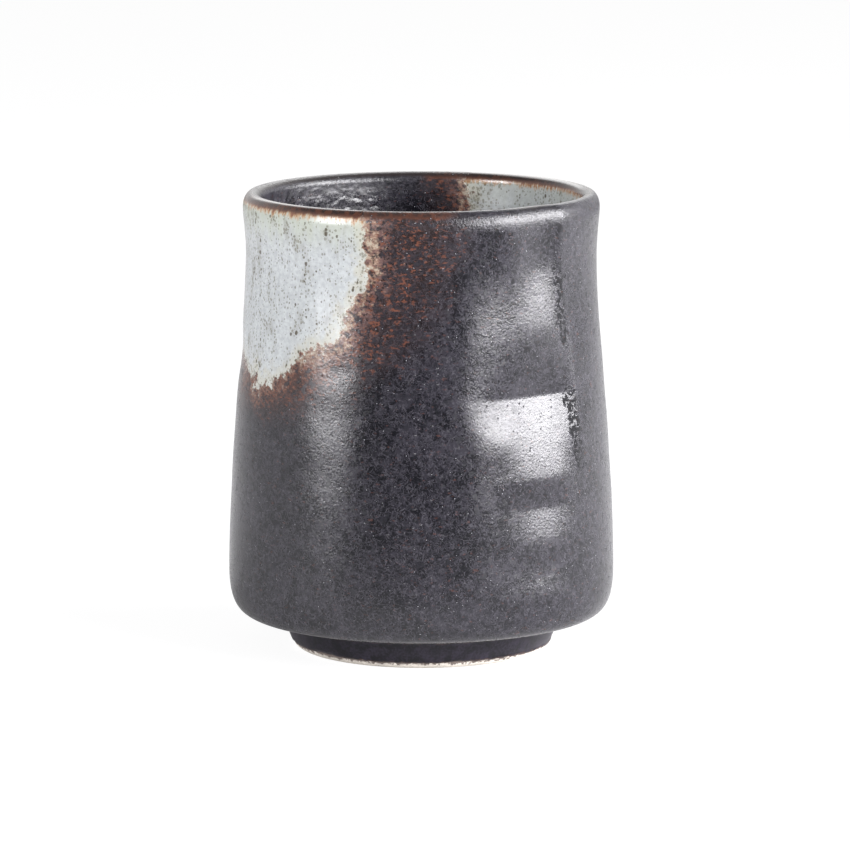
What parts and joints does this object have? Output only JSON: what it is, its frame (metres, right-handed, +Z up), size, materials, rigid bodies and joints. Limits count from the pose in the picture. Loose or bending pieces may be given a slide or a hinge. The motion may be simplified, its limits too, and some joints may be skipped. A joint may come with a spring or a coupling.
{
  "type": "yunomi tea cup",
  "caption": "Tall handleless tea cup in glazed stoneware, with a rounded lip, a slightly waisted wall and a luted foot ring.",
  "frame": {"origin": "middle of the foot, on the surface that the cup stands on", "axes": "+Z up out of the mouth; -Y is the front of the picture and +X is its right-hand side"},
  "size_m": [0.08, 0.08, 0.095],
  "materials": {
    "body_clay": "matte",
    "foot_clay": "matte",
    "slip_clay": "matte",
    "dark_glaze": "satin",
    "foot_glaze": "satin",
    "lip_glaze": "gloss",
    "liner_glaze": "gloss",
    "pale_glaze": "gloss"
  },
  "bodies": {
    "root": {"clay_body": "body_clay", "foot_ring": "foot_clay", "luting_slip": "slip_clay", "outer_glaze": "dark_glaze", "foot_glaze": "foot_glaze", "base_glaze": "foot_glaze", "lip_glaze": "lip_glaze", "liner_glaze": "liner_glaze", "outer_pale_glaze": "pale_glaze", "inner_pale_glaze": "pale_glaze"}
  },
  "joints": []
}
